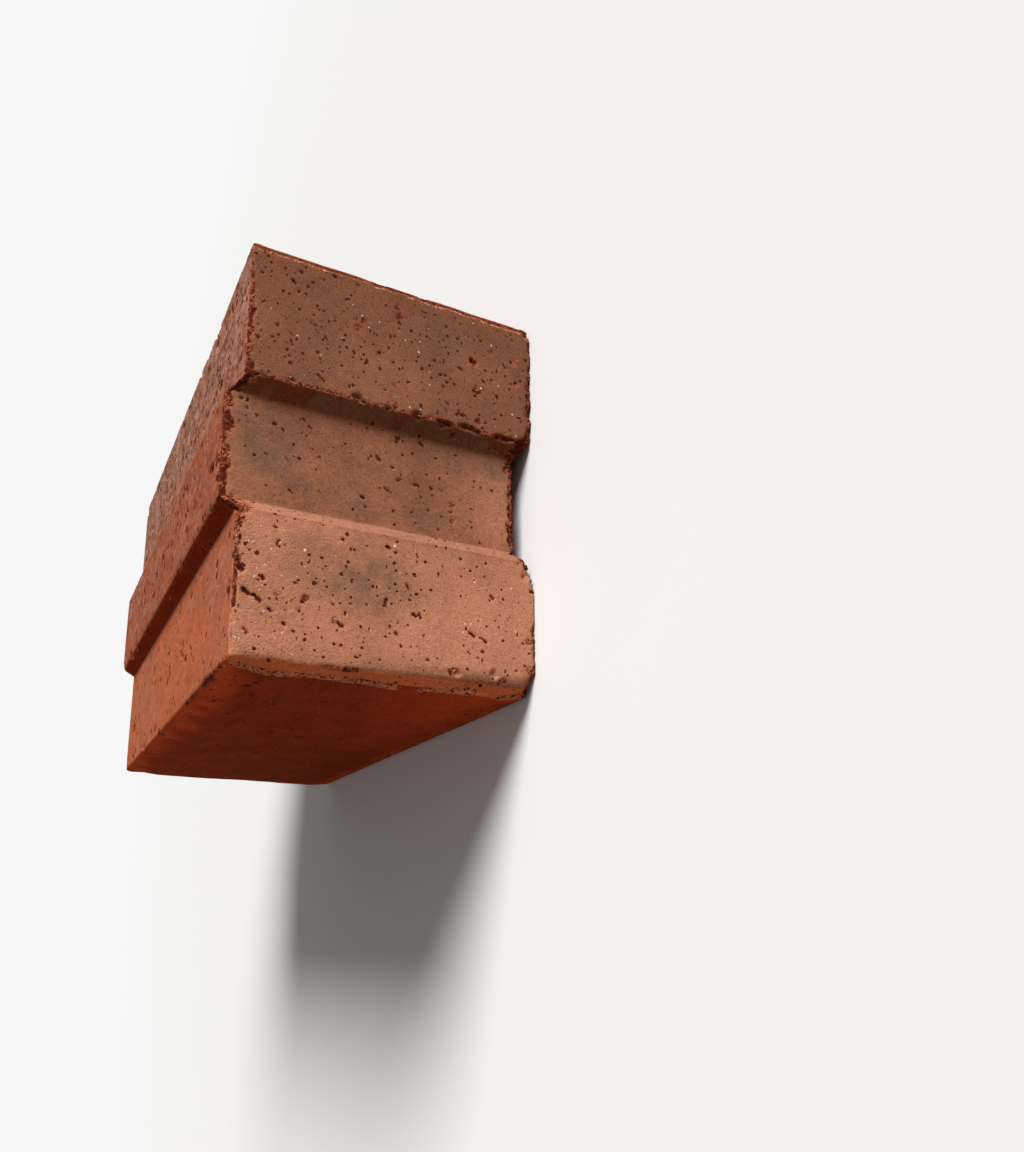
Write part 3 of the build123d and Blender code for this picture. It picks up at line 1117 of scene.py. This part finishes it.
def clay_material():
    material, nodes = new_material("fired_clay")
    place = nodes.add("TexCoord").outputs["Object"]
    ragged_place = nodes.ragged(place, scale=1100.0, reach=0.0013)
    flecks = flecks_group()
    grain = nodes.group(clay_grain_group(), Place=place)
    weather = nodes.group(weathering_group(), Place=place, Amount=nodes.mask("weathered"))
    torn = torn_lip(nodes, place)
    broken = nodes.larger(nodes.mask("crumbled"), nodes.times(torn, 0.8))
    crumbs = nodes.group(crumbs_group(), Place=place, Amount=broken)
    pinholes = all_pinholes(nodes, flecks, place, ragged_place)
    patchy = nodes.ramp(nodes.noise(place, 80.0, 3.0, 0.55), 0.2, 0.72)

    colour = plain_colour(nodes, place)
    marks = (
        (nodes.times(nodes.mask("smoked"), patchy), SMOKED_CLAY),
        (nodes.times(weather["Stain"], 0.7), STAIN_CLAY),
        (nodes.times(weather["Veil"], 0.5), SALT_VEIL),
        (nodes.times(nodes.mask("crumbled"), 0.85), CRUMB_CLAY),
        # Torn lip and painted highlight line
        (nodes.times(torn, 0.85), TORN_CLAY_AND_HIGHLIGHT),
        (pale_grains(nodes, flecks, ragged_place), PALE_GRAIN),
    )
    for mask, mark_colour in marks:
        colour = nodes.mix(mask, colour, mark_colour)
    tone = nodes.add("CombineColor", dict.fromkeys(("Red", "Green", "Blue"), grain["Tone"]))
    colour = nodes.mix(1.0, colour, tone.outputs["Color"], "MULTIPLY")
    # Painted shade: pits, pinholes and crumb holes are coloured dark
    pit_shade = nodes.larger(nodes.mask("pit_shade"), pinholes)
    colour = nodes.mix(nodes.larger(pit_shade, crumbs["Holes"]), colour, PIT_SHADE_CLAY)

    coarseness = nodes.plus(nodes.times(nodes.mask("limed"), 0.7), 1.0)
    height = nodes.times(grain["Height"], coarseness)
    height = nodes.minus(height, nodes.times(pinholes, 0.35))
    height = nodes.plus(height, nodes.times(weather["Height"], 0.5))
    height = nodes.plus(height, crumbs["Height"])
    bump = nodes.add("Bump", {"Height": height, "Distance": MM, "Strength": 0.8})
    shader = material.node_tree.nodes["Principled BSDF"]
    nodes.feed(shader.inputs["Base Color"], colour)
    nodes.feed(shader.inputs["Normal"], bump.outputs["Normal"])
    nodes.feed(shader.inputs["Roughness"], nodes.minus(1.0, nodes.times(grain["Tone"], 0.12)))
    shader.inputs["Specular IOR Level"].default_value = 0.03
    return material


# Studio

# Camera fitted to the photo: its place, and its picture's right and down
CAMERA_PLACE = Vector((0.52083, -0.19957, 0.21387))
CAMERA_RIGHT = Vector((0.47935, -0.01123, -0.87755))
CAMERA_DOWN = Vector((-0.211, -0.97206, -0.10281))
CAMERA_LENS = 29.55
NEAREST_SEEN = 0.01
FRAME_SHIFT = 0.1076
PALE = 0.93
KEY_DIRECTION = Vector((0.46, 0.74, 0.5))
KEY_STRENGTH = 5.2
KEY_SOFTNESS = math.radians(28)
AMBIENT = (0.2, 0.19, 0.18, 1)
FLOOR_FOR_CAMERA = (0.88, 0.88, 0.88, 1)
FLOOR_FOR_LIGHT = (0.36, 0.25, 0.19, 1)
FLOOR_REACH = 30.0
FADE_START, FADE_END = 0.45, 1.6


def set_camera():
    camera = new_object("camera", bpy.data.cameras.new("camera"))
    forward = CAMERA_RIGHT.cross(CAMERA_DOWN).normalized()
    right = CAMERA_RIGHT.normalized()
    up = right.cross(forward).normalized()
    turn = Matrix((right, up, -forward)).transposed()
    camera.matrix_world = Matrix.Translation(CAMERA_PLACE) @ turn.to_4x4()
    camera.data.lens = CAMERA_LENS
    camera.data.shift_y = FRAME_SHIFT
    camera.data.clip_start = NEAREST_SEEN
    bpy.context.scene.camera = camera


def seen_directly(nodes):
    """1 where the camera, a gloss or glass shows the backdrop, 0 where it lights the brick."""
    path = nodes.add("LightPath").outputs
    direct = nodes.larger(path["Is Camera Ray"], path["Is Glossy Ray"])
    return nodes.larger(direct, path["Is Transmission Ray"])


def floor_material():
    """Pale paper that keeps the brick's shadow and fades into the backdrop."""
    material, nodes = new_material("paper")
    seen = seen_directly(nodes)
    paper = material.node_tree.nodes["Principled BSDF"]
    paper.inputs["Roughness"].default_value = 1.0
    paper.inputs["Specular IOR Level"].default_value = 0.0
    nodes.feed(paper.inputs["Base Color"], nodes.mix(seen, FLOOR_FOR_LIGHT, FLOOR_FOR_CAMERA))
    glow = nodes.add("Emission", {"Color": (PALE, PALE, PALE, 1), "Strength": 1.0})
    place = nodes.add("TexCoord").outputs["Object"]
    away = nodes.add("VectorMath", {0: place}, operation="LENGTH").outputs["Value"]
    fade = nodes.times(seen, nodes.ramp(away, FADE_START, FADE_END))
    blend = nodes.add("MixShader", {"Fac": fade, 1: paper.outputs[0], 2: glow.outputs[0]})
    output = material.node_tree.nodes["Material Output"]
    nodes.feed(output.inputs["Surface"], blend.outputs[0])
    return material


def set_studio():
    bpy.context.scene.view_settings.view_transform = "Standard"
    mesh = bpy.data.meshes.new("floor")
    signs = ((-1, -1), (1, -1), (1, 1), (-1, 1))
    corners = [(x_sign * FLOOR_REACH, y_sign * FLOOR_REACH, 0) for x_sign, y_sign in signs]
    mesh.from_pydata(corners, [], [(0, 1, 2, 3)])
    mesh.materials.append(floor_material())
    floor = new_object("floor", mesh)

    world = bpy.data.worlds.new("studio")
    bpy.context.scene.world = world
    world.use_nodes = True
    nodes = Nodes(world.node_tree)
    seen = seen_directly(nodes)
    tone = nodes.mix(seen, AMBIENT, (PALE, PALE, PALE, 1))
    nodes.feed(world.node_tree.nodes["Background"].inputs["Color"], tone)

    key = new_object("key", bpy.data.lights.new("key", "SUN"))
    key.data.energy = KEY_STRENGTH
    key.data.angle = KEY_SOFTNESS
    key.rotation_euler = (-KEY_DIRECTION).to_track_quat("-Z", "Y").to_euler()


brick = make_brick()
brick.data.materials.append(clay_material())
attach(brick, "root")
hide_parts("mud_brick")
set_studio()
set_camera()
